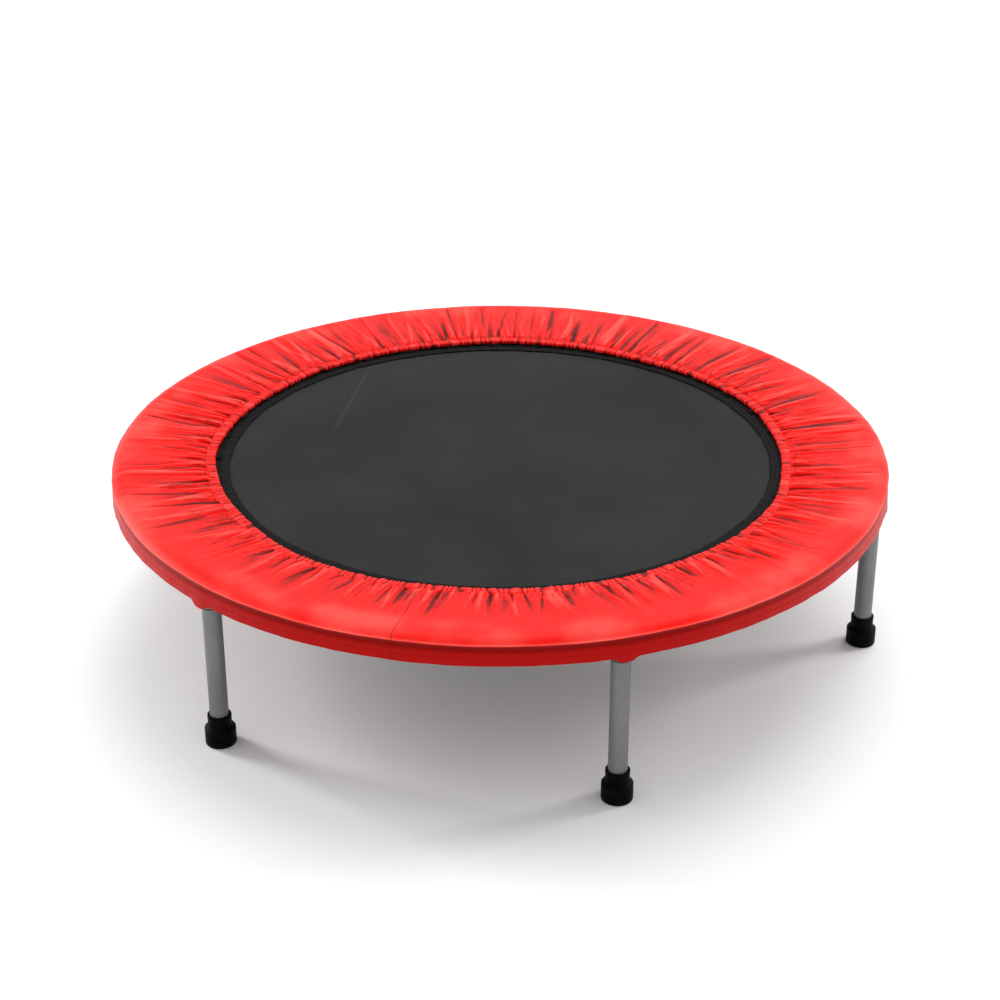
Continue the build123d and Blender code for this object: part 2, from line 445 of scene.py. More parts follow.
def pleats(angle, along, random):
    """The height of the folds at each point."""
    height = np.zeros_like(angle)
    order = np.argsort(angle)
    sorted_angle = np.concatenate([angle[order] + turn for turn in (-tau, 0, tau)])
    order = np.tile(order, 3)
    for count, widths, heights, reaches in pleat_kinds:
        centres = tau * (np.arange(count) + random.uniform(-0.45, 0.45, count)) / count - pi
        for centre in centres:
            width = random.uniform(*widths) * mm
            tall = random.uniform(*heights) * mm
            reach = random.uniform(*reaches) * mm * (0.45 + pleat_reach(centre))
            lean = random.normal() * 0.11
            span = 4 * (width * 2.2 + abs(lean) * reach * 1.6) / casing_outer
            first, last = np.searchsorted(sorted_angle, (centre - span, centre + span))
            near = order[first:last]
            near = near[along[near] < 2.6 * reach]
            out = along[near]
            aside = apart(angle[near], centre) * (casing_outer + out) - lean * out
            broad = width * (1 + 0.5 * out / reach)
            fade = np.exp(-((out / reach) ** 3.0)) * np.clip(0.1 + out / (6 * mm), 0, 1)
            height[near] += tall * fade * np.exp(-np.abs(aside / broad) ** 1.5)
    return height

# %% [markdown]
# Ridges alone would lift the cloth off the foam. The average over a few degrees is taken
# away from them, so the cloth sinks between the ridges as much as it rises on them.

# %% Level the folds
def local_mean(values, angle, along, sectors=60):
    """The average round each point on its own circle, over about six degrees."""
    circle = np.unique(np.round(along, 6), return_inverse=True)[1]
    turn = angle / tau * sectors
    before = np.floor(turn).astype(int)
    share = turn - before
    total, weight = np.zeros((2, circle.max() + 1, sectors))
    for sector, part in ((before % sectors, 1 - share), ((before + 1) % sectors, share)):
        np.add.at(total, (circle, sector), values * part)
        np.add.at(weight, (circle, sector), part)
    mean = total / weight
    after = mean[circle, (before + 1) % sectors]
    return mean[circle, before % sectors] * (1 - share) + after * share

# %% [markdown]
# Now the top is sewn. Each point moves straight out from the middle of the ring tube by its
# folds, a soft unevenness and a little slack, but never so far in that the cloth would cut into
# the foam under it. Fold height and place are stored on the points, and the material paints light
# and shade into the cloth from them.

# %% Sew the cover's top
foam_top = tube_radius + 1.7 * mm        # upper face of the foam, from the tube's middle
foam_start = 0.400                       # the foam's inner edge
foam_room = rim_radius - foam_top - 0.5 * mm
open_room = 3.4 * mm                     # how far the cloth may sink where no foam lies
tunnel_drop = 3.0 * mm                   # the elastic pulls its tunnel down on the mat
soft_waves = [9, 14, 22, 31, 47, 60]


def make_cover_top():
    cover = lathe("cover_cloth_top", cover_outline(), 2400)
    spots, radius, angle = points_of(cover)
    along = along_of(cover)
    height = spots[:, 2].copy()
    total = along.max()
    random = np.random.default_rng(23)
    folds = pleats(angle, along, random)
    folds -= local_mean(folds, angle, along)
    folds *= np.clip((0.96 - along / total) / 0.16, 0, 1)
    soft = ripple(angle, random, soft_waves, 0.9 * mm) * np.sin(pi * along / total) ** 2
    slack = -1.2 * mm * np.sin(pi * np.clip(along / (0.8 * total), 0, 1))
    over = np.clip(radius - ring_radius, 0, None)
    up = np.clip(height - ring_height, 1e-6, None)
    reach = np.hypot(over, up)
    on_foam = np.clip((radius - foam_start + 14 * mm) / (6 * mm), 0, 1)
    room = foam_room * on_foam + open_room * (1 - on_foam)
    push = np.maximum(folds + soft + slack, -room)
    inner = np.exp(-along / (30 * mm))
    new_radius = radius + push * over / reach + edge_drift(angle) * inner
    height += push * up / reach - tunnel_drop * np.exp(-along / (15 * mm))
    height -= 2 * mm * np.exp(-along / (2 * mm))
    seam = np.exp(-(((total - along) / (1.6 * mm)) ** 2))
    uneven = ripple(angle, random, [4, 9, 21, 40, 77], 0.35 * mm)
    new_radius += 0.6 * mm * seam + uneven * along / total
    put_points(cover, new_radius, angle, height)
    remember(cover, "fold", folds / (2 * mm))
    remember(cover, "out", along / total)
    return cover


cover_top = make_cover_top()
print("cover top", len(cover_top.data.polygons), "faces")

# %% [markdown]
# ## The elastic's tunnel
# The inner edge is folded over a round elastic and sewn. Pulled tight, the cloth bunches
# into small even pillows between the stitches. The tunnel is a flat tube on the lathe, and
# its surface is pushed in and out by a wave whose spacing is never quite regular.

# %% Sew the tunnel and its elastic
ruche_count = 280
ruche_height = 1.25 * mm
elastic_width = 3.2 * mm


def make_tunnel(name, across, tall, ruches, steps, points):
    middle = (casing_outer - casing_width / 2, casing_middle)
    piece = lathe(name, ring_outline(middle, across, tall, points), steps, closed=True)
    spots, radius, angle = points_of(piece)
    random = np.random.default_rng(31)
    uneven = ripple(angle, random, [3, 8, 17, 29, 44, 75], 3.6)
    skew = (radius - middle[0]) / across * ripple(angle, random, [13, 31, 59, 88], 3.0)
    wave = np.abs(np.sin((ruche_count * angle + uneven + skew) / 2))
    second = np.sin(ruche_count * 2 * angle + 3 * uneven + radius / (2 * mm))
    swell = ruches * (wave ** 0.7 - 0.55 + 0.16 * second)
    swell *= 1 + 0.6 * ripple(angle, random, [5, 12, 37, 61, 103], 1.0)
    out, up = (radius - middle[0]) / (across / 2), (spots[:, 2] - middle[1]) / (tall / 2)
    put_points(
        piece,
        radius + swell * out + edge_drift(angle),
        angle,
        spots[:, 2] + swell * up - tunnel_drop,
    )
    # The ruche wave is stored as fold, so the cloth colour paints a pale highlight on the ruche
    # tops and shade in the hollows between them.
    remember(piece, "fold", wave * 2.4 - 1.5)
    remember(piece, "out", out)
    return piece


tunnel = make_tunnel("cover_elastic_tunnel", casing_width, casing_height, ruche_height, 1872, 16)
elastic = make_tunnel("cover_elastic_cord", elastic_width, elastic_width, 0, 240, 10)
print("tunnel", len(tunnel.data.polygons), "faces")

# %% [markdown]
# ## The skirt
# A strip sewn to the top along the rim hides the tube and the springs' outer ends. It tucks in a
# little under the seam, falls straight, and ends in a folded hem. Where a leg's socket stands
# below the tube, the strip is pushed down and out into a small pouch round it.

# %% Hang the skirt
pouch_drop = 5.5 * mm            # how far the cloth hangs lower over a leg
pouch_half_width = 11.5 * mm
hem_fold = 9 * mm                # the doubled cloth at the hem stands out a little


def skirt_outline(rows=22):
    """From just inside the folded edge, straight down the outside of the tube to the hem."""
    top = (edge_fold[0] - 0.6 * mm, edge_fold[1])
    return [straight(top, (overall_radius, hem_height), step / rows) for step in range(rows + 1)]


def make_skirt():
    skirt = lathe("cover_cloth_skirt", skirt_outline(), 1200)
    spots, radius, angle = points_of(skirt)
    along = along_of(skirt)
    random = np.random.default_rng(5)
    total = along.max()
    down = along / total
    pouch = sum(
        np.exp(-np.abs(apart(angle, leg) * overall_radius / pouch_half_width) ** 4)
        for leg in leg_angles
    )
    shade = np.exp(-(((along - 4.5 * mm) / (3.5 * mm)) ** 2))
    tuck = -1.3 * mm * shade
    flare = ripple(angle, random, [13, 29, 46, 71, 98], 0.4 * mm) * down ** 2
    pucker = ripple(angle, random, [180, 233, 290, 347], 0.14 * mm) * np.exp(-along / (7 * mm))
    hem = 0.45 * mm * np.clip((along - (total - hem_fold)) / (1.2 * mm), 0, 1)
    wave = ripple(angle, random, [7, 19, 33, 58], 0.35 * mm)
    height = spots[:, 2] - down ** 2 * (pouch * pouch_drop - wave)
    bulge = 1.2 * mm * pouch * down
    put_points(skirt, radius + tuck + flare + pucker + hem + bulge, angle, height)
    # The skirt's stored fold value is no fold height: the fixed -0.7 paints the whole skirt a
    # darker, shaded red, and the shade term paints a darker band under the folded edge.
    remember(skirt, "fold", -0.7 - 0.25 * shade)
    remember(skirt, "out", np.full_like(down, 0.9))
    return skirt


skirt = make_skirt()
print("skirt", len(skirt.data.polygons), "faces")

# %% [markdown]
# ## The foam strip
# A thin strip of foam lies between the cover and the springs and bends over the tube. It
# could be a flat ring draped by a simulation, but it is thin and well held, so a closed
# outline on the lathe gives it at once, with a slight unevenness round it.

# %% Lay the foam
def make_foam():
    inner = tube_radius + 0.3 * mm
    turn = pi / 2 + top_slope
    steps = 12
    bend = [turn - (turn + radians(12)) * step / steps for step in range(steps + 1)]
    over = [slope_point(foam_start, foam_top)] + [rim_point(a, foam_top) for a in bend]
    under = [rim_point(a, inner) for a in reversed(bend)] + [slope_point(foam_start, inner)]
    foam = lathe("foam_strip", over + under, 360, closed=True)
    spots, radius, angle = points_of(foam)
    random = np.random.default_rng(8)
    sag = ripple(angle, random, [6, 15, 36, 52], 0.15 * mm)
    put_points(foam, radius + sag, angle, spots[:, 2])
    return foam


foam = make_foam()
print("foam", len(foam.data.polygons), "faces")

# %% [markdown]
# ## The mat
# The mat is woven plastic, stretched flat. One filled circle would do from far off, but the
# mat sags a little, so it needs points inside: a small disc is grown outwards, ring by ring,
# by extruding its edge. A Solidify modifier gives it the cloth's thickness.

# %% Stretch the mat
hub = 8 * mm
mat_rings = 30
mat_sag = 0.9 * mm


def make_mat():
    bm = bmesh.new()
    middle = bmesh.ops.create_circle(bm, cap_ends=True, cap_tris=True, segments=240, radius=hub)
    bmesh.ops.translate(bm, verts=middle["verts"], vec=(0, 0, mat_top))
    grow = (mat_radius - hub) / mat_rings
    for ring in range(mat_rings):
        edge = [e for e in bm.edges if e.is_boundary]
        wider = bmesh.ops.extrude_edge_only(bm, edges=edge)["geom"]
        moved = [v for v in wider if isinstance(v, bmesh.types.BMVert)]
        size = (hub + grow * (ring + 1)) / (hub + grow * ring)
        bmesh.ops.scale(bm, verts=moved, vec=(size, size, 1))
    bmesh.ops.recalc_face_normals(bm, faces=bm.faces)
    return link("jumping_mat", bm)


mat = make_mat()
spots, radius, angle = points_of(mat)
sag = -mat_sag * np.clip(1 - (radius / mat_radius) ** 2, 0, 1)
put_points(mat, radius, angle, spots[:, 2] + sag)
wall = mat.modifiers.new("wall", "SOLIDIFY")
wall.thickness = high("mat").z - low("mat").z
wall.offset = -1
print("mat", len(mat.data.polygons), "faces,", round(wall.thickness / mm, 1), "mm thick")

# %% [markdown]
# ## The edge webbing
# A band of webbing is sewn round the mat, where the load goes in. It is a flat band on the
# lathe. Between the loops it is a little slack, so its upper face rises there and wrinkles,
# while its lower face stays flat on the mat.

# %% Sew the edge webbing
webbing_inner = 0.338


def make_webbing():
    outer = high("mat_edge_band").x
    tall = high("mat_edge_band").z - low("mat_edge_band").z
    middle = ((webbing_inner + outer) / 2, mat_top + tall / 2)
    section = ring_outline(middle, outer - webbing_inner, tall, 20)
    band = lathe("mat_webbing", section, 1080, closed=True)
    spots, radius, angle = points_of(band)
    random = np.random.default_rng(17)
    upper = np.clip((spots[:, 2] - mat_top) / tall, 0, 1)
    slack = np.sin(spring_count * angle / 2) ** 2 * 0.35 * mm
    wrinkle = ripple(angle + 1.4 * radius, random, [64, 97, 131, 170], 0.28 * mm)
    edge = ripple(angle, random, [12, 25, 37], 0.7 * mm) * (radius < middle[0])
    put_points(band, radius + edge, angle, spots[:, 2] + upper * (slack + wrinkle))
    return band


webbing = make_webbing()
print("webbing", len(webbing.data.polygons), "faces")

# %% [markdown]
# ## Loops that hold the rings
# Each V-ring hangs in a folded strip of webbing. The fold is an open outline seen from the
# side, extruded to the strip's width and given a wall, and `spin` with `use_duplicate`
# repeats it round the mat.

# %% Fold the webbing loops
bar_radius = 0.366               # where the straight bar of each V-ring lies
loop_width = 16 * mm
loop_wall = 1.1 * mm
loop_length = 16 * mm            # how far the ends run back under the edge webbing
spring_pitch = tau / spring_count
first_spring = spring_pitch / 2


def loop_outline(reach, fold_steps=6):
    """The folded strip seen from the side, from its upper end round the bar to its lower."""
    swell = 0.2 * mm
    back, half_back = bar_radius - loop_length, bar_radius - loop_length / 2
    turns = [pi / 2 - pi * step / fold_steps for step in range(fold_steps + 1)]
    fold = [(bar_radius + reach * cos(a), reach * sin(a)) for a in turns]
    upper = [(back, reach), (half_back, reach + swell)]
    return upper + fold + [(x, -z) for x, z in reversed(upper)]


def make_loops():
    reach = (high("mat_loops").z - low("mat_loops").z - loop_wall) / 2
    bm = bmesh.new()
    points = [
        bm.verts.new((x, -loop_width / 2, ring_height + z)) for x, z in loop_outline(reach)
    ]
    edges = [bm.edges.new(pair) for pair in zip(points, points[1:])]
    across = bmesh.ops.extrude_edge_only(bm, edges=edges)["geom"]
    moved = [v for v in across if isinstance(v, bmesh.types.BMVert)]
    bmesh.ops.translate(bm, verts=moved, vec=(0, loop_width, 0))
    bmesh.ops.recalc_face_normals(bm, faces=bm.faces)
    bmesh.ops.rotate(bm, verts=bm.verts, matrix=Matrix.Rotation(first_spring, 3, "Z"))
    bmesh.ops.spin(
        bm, geom=bm.verts[:] + bm.edges[:] + bm.faces[:], cent=(0, 0, 0), axis=(0, 0, 1),
        angle=tau - spring_pitch, steps=spring_count - 1, use_duplicate=True,
    )
    loops = link("ring_loops", bm)
    thick = loops.modifiers.new("wall", "SOLIDIFY")
    thick.thickness = loop_wall
    thick.offset = 0
    return loops


loops = make_loops()
print("loops", len(loops.data.polygons) // spring_count, "faces each")

# %% [markdown]
# ## Springs
# A coil spring is the lathe's cousin: `spin` with a small push along the axis at each step
# draws a helix. Starting from one ring of six points, the wire is led through the eye, the
# coils and the tail in one piece. Each spring is an object of its own, because each one has
# to lean its own way when the mat goes down.

# %% Wind the springs
wire = 1.3 * mm                  # radius of the wire
coil = 6.2 * mm                  # radius of the coil, to the middle of the wire
bend = 2.2 * mm                  # radius of the corners between coils and hooks
eye_middle = 0.3900
coil_start = 0.3950
coil_end = 0.4415
hole_inside = 0.4590             # where the outer hook turns down inside the tube
coil_turns = 14
steps_per_turn = 14


def wire_middle(section):
    points = [part.co for part in section if isinstance(part, bmesh.types.BMVert)]
    return sum(points, Vector()) / len(points)


def lead(bm, section, offset, axis, angle, steps, push=0.0):
    """Draw the wire on from its end section, round a point at that offset from it."""
    made = bmesh.ops.spin(
        bm, geom=section, cent=wire_middle(section) + Vector(offset), axis=axis, angle=angle,
        steps=steps, dvec=(push / steps, 0, 0), use_merge=False, use_duplicate=False,
    )
    return made["geom_last"]


def wind_spring():
    """Wire from the eye's open end, round the eye, through the coils and into the tube."""
    bm = bmesh.new()
    rise = coil / 2
    upright = Matrix.Rotation(pi / 2, 4, "Y")
    foot = Matrix.Translation((eye_middle, 0, ring_height - coil))
    made = bmesh.ops.create_circle(bm, segments=6, radius=wire, matrix=foot @ upright)
    section = made["verts"] + list({edge for v in made["verts"] for edge in v.link_edges})
    section = lead(bm, section, (0, 0, coil), (0, 1, 0), pi, 14)
    section = lead(bm, section, (0, bend, 0), (0, 0, 1), radians(85), 4, coil_start - eye_middle)
    at = wire_middle(section)
    to_axis = (0, -at.y, ring_height - at.z)
    section = lead(
        bm, section, to_axis, (-1, 0, 0), tau * (coil_turns + 0.45), steps_per_turn * coil_turns,
        coil_end - coil_start - bend,
    )
    section = lead(bm, section, (bend, 0, 0), (0, 0, 1), radians(85), 4)
    section = lead(bm, section, (0, 0, rise), (0, -1, 0), pi / 2, 4)
    section = lead(bm, section, (rise, 0, 0), (0, 1, 0), pi / 2, 4)
    at = wire_middle(section)
    section = lead(bm, section, (0, 0, -1), (0, 1, 0), 0, 1, hole_inside - at.x)
    section = lead(bm, section, (0, 0, -4 * mm), (0, 1, 0), pi / 2, 5)
    bmesh.ops.holes_fill(bm, edges=[edge for edge in bm.edges if edge.is_boundary], sides=6)
    bmesh.ops.recalc_face_normals(bm, faces=bm.faces)
    return link("spring_01", bm)


def spring_angle(number):
    return first_spring + spring_pitch * number


springs = [wind_spring()]
for number in range(1, spring_count):
    mesh = springs[0].data.copy()
    mesh.transform(Matrix.Rotation(spring_angle(number), 4, "Z"))
    another = bpy.data.objects.new(f"spring_{number + 1:02d}", mesh)
    bpy.context.collection.objects.link(another)
    springs.append(another)
springs[0].data.transform(Matrix.Rotation(spring_angle(0), 4, "Z"))
print("one spring", len(springs[0].data.polygons), "faces")

# %% [markdown]
# ## Metal finishes
# The hard parts keep the frame's own meshes, so only their material slots change. One flat
# grey would look like plastic. Powder coat is a satin film with fine speckle and a faint
# orange peel, and zinc plate is bare metal with cloudy patches.

# %% Powder coat and zinc
def powder_coat():
    finish = Finish("grey_powder_coat", Metallic=0.7, Specular_IOR_Level=0.5)
    cloud = finish.noise(14, detail=4)
    speck = finish.noise(900, detail=2)
    shade = cloud.band(0.3, 0.7) * 0.6 + speck.band(0.35, 0.75) * 0.4
    finish.set(
        Base_Color=finish.mix(shade, rgb(0.155, 0.157, 0.162), rgb(0.215, 0.217, 0.222)),
        Roughness=0.36 + 0.16 * cloud,
    )
    finish.bump(finish.noise(700, detail=1), 0.00004, 0.35)
    return finish.material


def zinc_plate(name, bright):
    finish = Finish(name, Specular_IOR_Level=0.5)
    patch = finish.noise(60, detail=5)
    drawn = finish.noise(1400, detail=2)
    finish.set(
        Base_Color=finish.mix(patch, rgb(*bright), rgb(0.42, 0.41, 0.38)),
        Roughness=0.24 + 0.22 * patch + 0.06 * drawn,
        Metallic=1.0,
    )
    finish.bump(drawn, 0.00003, 0.4)
    return finish.material

# %% [markdown]
# ## Rubber and plastic
# The feet are moulded rubber, nearly black, with a dull bloom and a little dust where they
# stand on the floor. The washers are black plastic with a moulded grain. Dust is drawn by
# height above the floor, which the object's own coordinates give.

# %% Rubber and plastic
def foot_rubber():
    finish = Finish("moulded_rubber", Specular_IOR_Level=0.04)
    bloom = finish.noise(45, detail=5)
    grain = finish.noise(1600, detail=2)
    height = finish.sides()[2]
    floor_dust = 1 - height.band(0.0, 0.006)
    dust = (bloom.band(0.45, 0.75) * 0.25 + floor_dust * 0.5) * bloom
    finish.set(
        Base_Color=finish.mix(dust, rgb(0.0015, 0.0015, 0.0016), rgb(0.02, 0.0195, 0.019)),
        Roughness=0.38 + 0.25 * bloom,
    )
    finish.bump(grain + 0.5 * bloom, 0.00012, 0.5)
    return finish.material


def washer_plastic():
    finish = Finish("black_washer_plastic")
    grain = finish.noise(700, detail=3)
    finish.set(
        Base_Color=finish.mix(grain, rgb(0.010, 0.010, 0.010), rgb(0.022, 0.022, 0.022)),
        Roughness=0.45 + 0.15 * grain,
    )
    finish.bump(grain, 0.00008, 0.4)
    return finish.material

# %% [markdown]
# ## The cover's cloth
# The cover is a thin, tight polyester weave. Crinkles too small to model run along the
# pleats. They could be one more mesh, but noise stretched along the radius and used as bump
# costs nothing. Two helpers turn the object's x and y into polar wires and stretch them.

# %% Polar coordinates for round cloth
def polar(x, y):
    """Angle in radians and radius in metres, as two wires."""
    return y.math("ARCTAN2", x), (x * x + y * y) ** 0.5


def stretched(finish, angle, reach, round_scale, out_scale):
    """A place for noise that is drawn out along the radius."""
    sine = angle.math("SINE") * round_scale
    cosine = angle.math("COSINE") * round_scale
    return finish.node("ShaderNodeCombineXYZ", sockets={0: sine, 1: cosine, 2: reach * out_scale})

# %% [markdown]
# Red cloth is bright on its ridges and nearly black where two folds press together. A render
# bounces too little light inside such small folds, so the stored fold height paints light and
# shade into the colour: it mixes a painted deep-red shade in the hollows, the cloth's own red, a
# painted paler highlight on the ridges, on broad patches near the rim and along the folded edge,
# and a painted near-black shadow in the slits.

# %% Painted shade and highlight reds of the folds
cloth_red = rgb(0.92, 0.006, 0.004)
# Only cloth_red is the cloth's own colour; the hollow red is painted shade, the ridge red a
# painted highlight and the slit red a painted shadow.
painted_hollow_shade_red = rgb(0.22, 0.001, 0.001)
painted_ridge_highlight_red = rgb(1.0, 0.11, 0.09)
painted_slit_shadow_red = rgb(0.03, 0.0, 0.0)


def painted_fold_light_and_shade(finish, fold, out, patch, gathering):
    # Painted shade: the hollows between folds turn a deep red.
    hollow_shade = finish.mix(fold.band(-1.05, -0.1), painted_hollow_shade_red, cloth_red)
    # Painted highlights: pale patches on the outer slope and a pale line along the folded edge.
    outer_highlight = out.band(0.5, 0.75) * patch.band(0.42, 0.66) * 0.5 + out.band(0.972, 1.0) * 0.6
    # Painted highlight on the fold ridges, plus the outer highlights away from the hollows.
    painted_highlight = fold.band(0.3, 1.4) * 0.6 + outer_highlight * fold.band(-0.6, 0.0)
    # Painted shadow: near black in the slits where two folds press together.
    slit_shadow = 1 - fold.band(-1.9, -1.3)
    return finish.mix(slit_shadow * gathering, finish.mix(painted_highlight, hollow_shade, painted_ridge_highlight_red), painted_slit_shadow_red)

# %% [markdown]
# The cover is one long strip closed into a ring, so it has one sewn joint across its width,
# and a row of stitches runs beside the tunnel. Both are thin lines in colour and in bump: a
# distance to the line, turned into a mask with two soft edges.

# %% Cover cloth
joint_angle = radians(-120)      # where the ends of the cover's strip are sewn together
stitches_round = 480.0           # stitches in one turn of the cover
# This red darkens the sewn joint, its own colour, and the crease lines, where it is painted
# shade.
seam_and_crease_shade_red = rgb(0.20, 0.001, 0.001)
thread_red = rgb(0.30, 0.004, 0.004)


def joint_mask(x, y):
    beside = (x * sin(joint_angle) - y * cos(joint_angle)).math("ABSOLUTE")
    ahead = (x * cos(joint_angle) + y * sin(joint_angle)).band(0.38, 0.40)
    return (1 - beside.band(0.0003, 0.0011)) * ahead


def cover_cloth(name, stitch_radius=None):
    finish = Finish(
        name, Specular_IOR_Level=0.2, Specular_Tint=rgb(1.0, 0.32, 0.28), Sheen_Weight=0.02,
        Sheen_Roughness=0.4, Sheen_Tint=rgb(1.0, 0.3, 0.25),
    )
    x, y, z = finish.sides()
    angle, radius = polar(x, y)
    fold, out = finish.attribute("fold"), finish.attribute("out")
    crinkle = finish.noise(1.0, 4, stretched(finish, angle, radius + z, 95, 26), 0.6)
    fine = finish.noise(1.0, 3, stretched(finish, angle, radius + z, 260, 90), 0.6)
    drawn = finish.noise(1.0, 2, stretched(finish, angle, radius + z, 62, 15), 0.5)
    patch = finish.noise(9, detail=3)
    gathering = 1 - out.band(0.35, 0.8)
    # Thin crease lines in the gathered cloth: a sunken bump, and a darker colour that is painted
    # shade in the creases.
    crease_line_and_shade = (1 - (drawn - 0.5).math("ABSOLUTE").band(0.0, 0.03)) * gathering
    joint = joint_mask(x, y)
    folded = painted_fold_light_and_shade(finish, fold, out, patch, gathering)
    colour = finish.mix(crease_line_and_shade * 0.5 + joint * 0.55, folded, seam_and_crease_shade_red)
    height = crinkle * 0.7 + fine * 0.3 - crease_line_and_shade * 0.7 - joint * 0.6
    if stitch_radius:
        line = 1 - (radius - stitch_radius).math("ABSOLUTE").band(0.0004, 0.0011)
        dash = line * (angle * stitches_round).math("SINE").band(-0.2, 0.3)
        colour = finish.mix(dash * 0.75, colour, thread_red)
        height = height - line * 0.5
    finish.set(Base_Color=colour, Roughness=0.32 + 0.16 * patch + 0.08 * fine)
    finish.bump(height, 0.0011, 0.55)
    return finish.material

# %% [markdown]
# ## The mat's cloth
# The mat is woven from flat plastic strands. Two crossed sine waves draw the weave and a slower
# wave its faint ribs, which a mesh could never hold. A mat that was packed folded keeps one soft
# crease, so a bump and a pale line, a painted highlight on its ridge, run part of the way across
# it.

# %% Mat cloth
strand = 2.1 * mm
rib = 12.6 * mm
crease_start = Vector((-0.190, 0.674)) * overall_radius
crease_end = Vector((-0.396, 0.250)) * overall_radius


def crease_bump_and_highlight_mask(finish, x, y):
    run = (crease_end - crease_start).normalized()
    length = (crease_end - crease_start).length
    x, y = x - crease_start.x, y - crease_start.y
    off = x * (-run.y) + y * run.x + (finish.noise(9) - 0.5) * 0.004
    far = x * run.x + y * run.y
    on = far.band(-0.02, 0.05) * (1 - far.band(length - 0.05, length + 0.03))
    return (1 - off.math("ABSOLUTE").band(0.0006, 0.0036)) * on


def mat_cloth():
    finish = Finish("woven_mat", Specular_IOR_Level=0.09)
    x, y = finish.sides()[:2]
    weave = (x * (tau / strand)).math("SINE") * (y * (tau / strand)).math("SINE")
    ribs = (x * (tau / rib) + finish.noise(7) * 2.0).math("SINE")
    cloud = finish.noise(5, detail=5)
    line = crease_bump_and_highlight_mask(finish, x, y)
    tone = cloud.band(0.3, 0.72) * 0.55 + weave * 0.16 + ribs * 0.04 + 0.2
    plain = finish.mix(tone, rgb(0.008, 0.008, 0.0083), rgb(0.026, 0.026, 0.0265))
    # The pale crease colour is a painted highlight on the crease's ridge.
    finish.set(
        Base_Color=finish.mix(line * 0.10, plain, rgb(0.105, 0.105, 0.107)),
        Roughness=0.52 + 0.14 * cloud,
    )
    finish.bump(weave * 0.6 + line * 0.5 + ribs * 0.1, 0.00016, 0.45)
    return finish.material

# %% [markdown]
# ## Webbing, foam and elastic
# Webbing shows ribs along its length and rows of stitches. Foam is a pale mass of cells,
# and elastic is braided. Only slivers of the last two are ever seen, so each is one noise or
# one slanted wave, and not a modelled braid.

# %% Webbing cloth
webbing_rib = 2.4 * mm
stitch_rows = (0.342, 0.3465, 0.359)
webbing_picks = 880.0            # cross threads in one turn of the mat
webbing_stitches = 520.0         # stitches in one turn of the mat


def webbing_cloth():
    finish = Finish("black_webbing", Specular_IOR_Level=0.05)
    x, y = finish.sides()[:2]
    angle, radius = polar(x, y)
    ribs = (radius * (tau / webbing_rib)).math("SINE")
    picks = (angle * webbing_picks).math("SINE")
    cloud = finish.noise(30, detail=4)
    stitch = sum(
        1 - (radius - row).math("ABSOLUTE").band(0.0003, 0.0010) for row in stitch_rows
    )
    dash = stitch * (angle * webbing_stitches).math("SINE").band(-0.1, 0.3)
    base = finish.mix(cloud, rgb(0.002, 0.002, 0.002), rgb(0.006, 0.006, 0.006))
    colour = finish.mix(dash * 0.5, base, rgb(0.03, 0.03, 0.03))
    finish.set(Base_Color=colour, Roughness=0.5 + 0.2 * cloud)
    finish.bump(ribs * 0.4 + picks * 0.3 - stitch * 1.2, 0.0003, 0.5)
    return finish.material


# %% Foam and elastic
def foam_skin():
    finish = Finish("closed_cell_foam")
    cells = finish.noise(500, detail=2)
    cloud = finish.noise(12, detail=3)
    finish.set(
        Base_Color=finish.mix(cloud, rgb(0.55, 0.55, 0.53), rgb(0.72, 0.71, 0.68)),
        Roughness=0.75 + 0.15 * cells,
    )
    finish.bump(cells, 0.0003, 0.5)
    return finish.material


def elastic_rubber():
    finish = Finish("covered_elastic")
    x, y, z = finish.sides()
    angle = polar(x, y)[0]
    braid = (angle * 1500.0 + z * 3000.0).math("SINE")
    finish.set(
        Base_Color=finish.mix(braid.band(-1.0, 1.0), rgb(0.35, 0.02, 0.02), rgb(0.6, 0.05, 0.04)),
        Roughness=0.6 + 0.1 * braid,
    )
    finish.bump(braid, 0.0002, 0.5)
    return finish.material

# %% [markdown]
# ## Hand out the finishes
# The frame's parts ask for their finish by the name of a material slot, so one table serves all
# of them and a new leg would need no new line. The sewn pieces get theirs one by one.

# %% Give every part its finish
slot_finish = {
    "frame_paint": powder_coat(),
    "foot_rubber": foot_rubber(),
    "washer_plastic": washer_plastic(),
    "zinc_steel": zinc_plate("zinc_plated_steel", (0.66, 0.65, 0.62)),
    "spring_steel": zinc_plate("spring_wire_steel", (0.72, 0.71, 0.69)),
}
slot_finish["leg_paint"] = slot_finish["frame_paint"]
for part in frame["record"]["subparts"]:
    finish = slot_finish.get(part["material_slot"])
    for holder in nodes[part["node"]].material_slots if finish else ():
        holder.material = finish

stitch_line = casing_outer + 1.6 * mm
dressed = {
    "cover_cloth": (cover_cloth("red_polyester", stitch_line), [cover_top, skirt]),
    "tunnel_cloth": (cover_cloth("red_polyester_tunnel"), [tunnel]),
    "elastic": (elastic_rubber(), [elastic]),
    "foam": (foam_skin(), [foam]),
    "mat_cloth": (mat_cloth(), [mat]),
    "webbing": (webbing_cloth(), [webbing, loops]),
    "spring_steel": (slot_finish["spring_steel"], springs),
}
for finish, pieces in dressed.values():
    for piece in pieces:
        piece.data.materials.append(finish)
print("finishes", len(bpy.data.materials))

# %% [markdown]
# ## Say what rides on what
# Every new piece rides on a body of the frame and stands for the plain solid under it: it is
# parented to that body, and the plain solid is hidden.

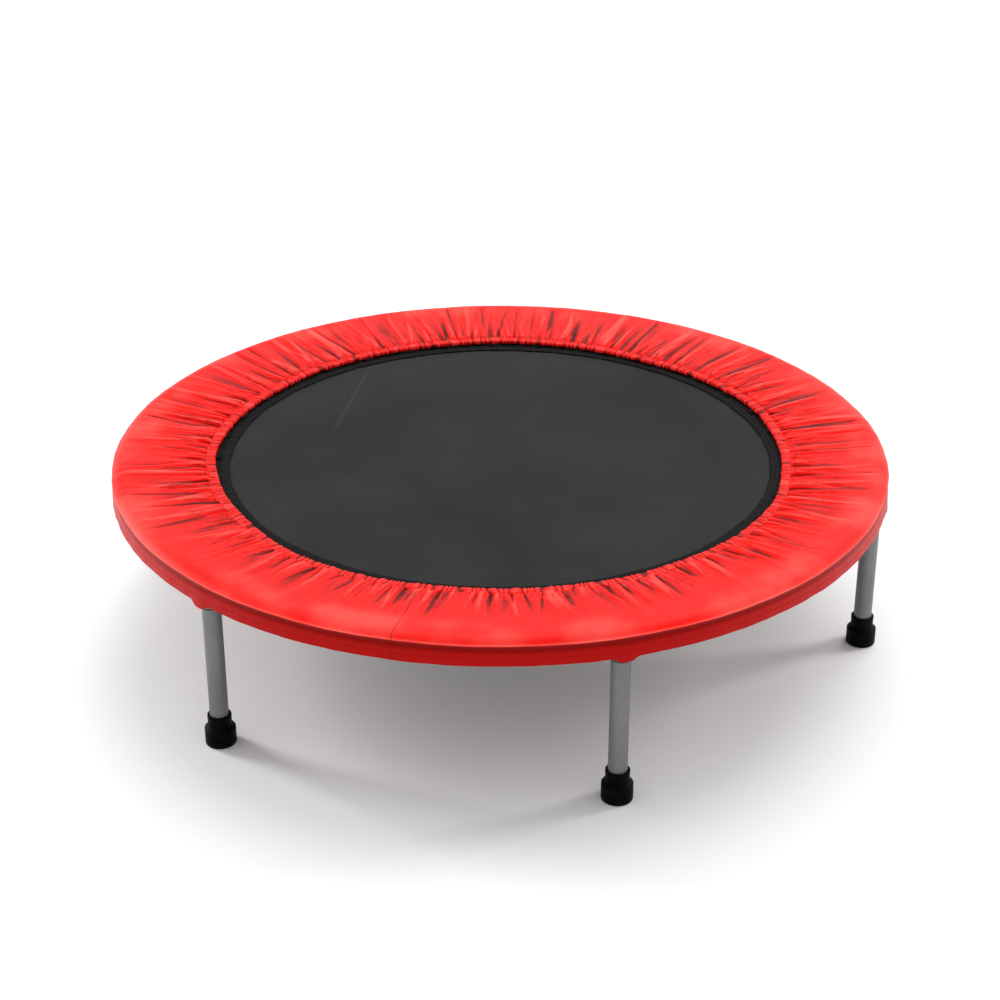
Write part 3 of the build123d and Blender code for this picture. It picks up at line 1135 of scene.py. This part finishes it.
# %% Ride and replace
rides = (
    (cover_top, "frame", "cover_top", "cover_cloth"),
    (skirt, "frame", "cover_skirt", "cover_cloth"),
    (tunnel, "frame", "elastic_casing", "cover_cloth"),
    (elastic, "frame", "elastic_cord", "elastic"),
    (foam, "frame", "foam_pad", "foam"),
    (mat, "mat", "mat", "mat_cloth"),
    (webbing, "mat", "mat_edge_band", "webbing"),
    (loops, "mat", "mat_loops", "webbing"),
)
for piece, body, node, slot in rides:
    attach(piece, body)
    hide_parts(node)

# %% [markdown]
# A spring joins two bodies. Riding on one of them it would tear off the other when the mat goes
# down, so it rides on neither: its placement is baked into its points, and the frame's plain
# springs are hidden.

for number, piece in enumerate(springs):
    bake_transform(piece)
    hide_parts("springs")

# %% [markdown]
# Cloth has a flat size before it is sewn. The top is cut as a flat ring, wider than the opening
# it covers, because the elastic gathers it.

# %% [markdown]
# ## Floor and light
# A product studio: a white floor under one broad light from high behind, so the top catches
# it and the skirt facing the camera stays darker. Two soft boxes at the sides rake across
# the pleats and draw their ridges. The world adds an even fill that keeps shadows pale.

# %% Build the studio
def make_floor():
    bm = bmesh.new()
    bmesh.ops.create_grid(bm, x_segments=2, y_segments=2, size=20)
    floor = link("studio_floor", bm)
    finish = Finish("studio_white", Specular_IOR_Level=0.1)
    cloud = finish.noise(0.7, detail=2)
    white = finish.mix(cloud, rgb(0.93, 0.93, 0.93), rgb(0.96, 0.96, 0.96))
    finish.set(Base_Color=white, Roughness=0.9)
    floor.data.materials.append(finish.material)


def aim(name, data, place, target=(0, 0, 0.2)):
    """Stand a light to the camera's right, depth and height, and point it at the cover."""
    light = bpy.data.objects.new(name, data)
    bpy.context.collection.objects.link(light)
    light.location = Matrix.Rotation(camera_turn, 4, "Z") @ Vector(place)
    light.rotation_euler = (Vector(target) - light.location).to_track_quat("-Z", "Y").to_euler()


def soft_box(name, place, size, power):
    data = bpy.data.lights.new(name, "AREA")
    data.shape = "RECTANGLE"
    data.size, data.size_y = size
    data.energy = power
    aim(name, data, place)


def far_lamp(name, place, strength, spread):
    """A light so far away that it falls evenly on the whole floor."""
    data = bpy.data.lights.new(name, "SUN")
    data.energy = strength
    data.angle = spread
    aim(name, data, place)


make_floor()
far_lamp("high_back_light", (0.5, 1.5, 2.6), strength=1.35, spread=radians(45))
soft_box("left_box", (-2.4, 0.9, 1.2), size=(0.7, 1.0), power=46)
soft_box("right_box", (2.4, 0.6, 1.2), size=(0.7, 1.0), power=28)
print("lights", len(bpy.data.lights))

# %% [markdown]
# The room itself is plain white light. The Standard view keeps the saturated red of the
# cover, which a filmic view would fade.

# %% Light the room
world = bpy.data.worlds.new("soft_room")
world.use_nodes = True
room = world.node_tree.nodes["Background"].inputs
room["Color"].default_value = rgb(1, 1, 1)
room["Strength"].default_value = 0.68
bpy.context.scene.world = world
bpy.context.scene.view_settings.view_transform = "Standard"
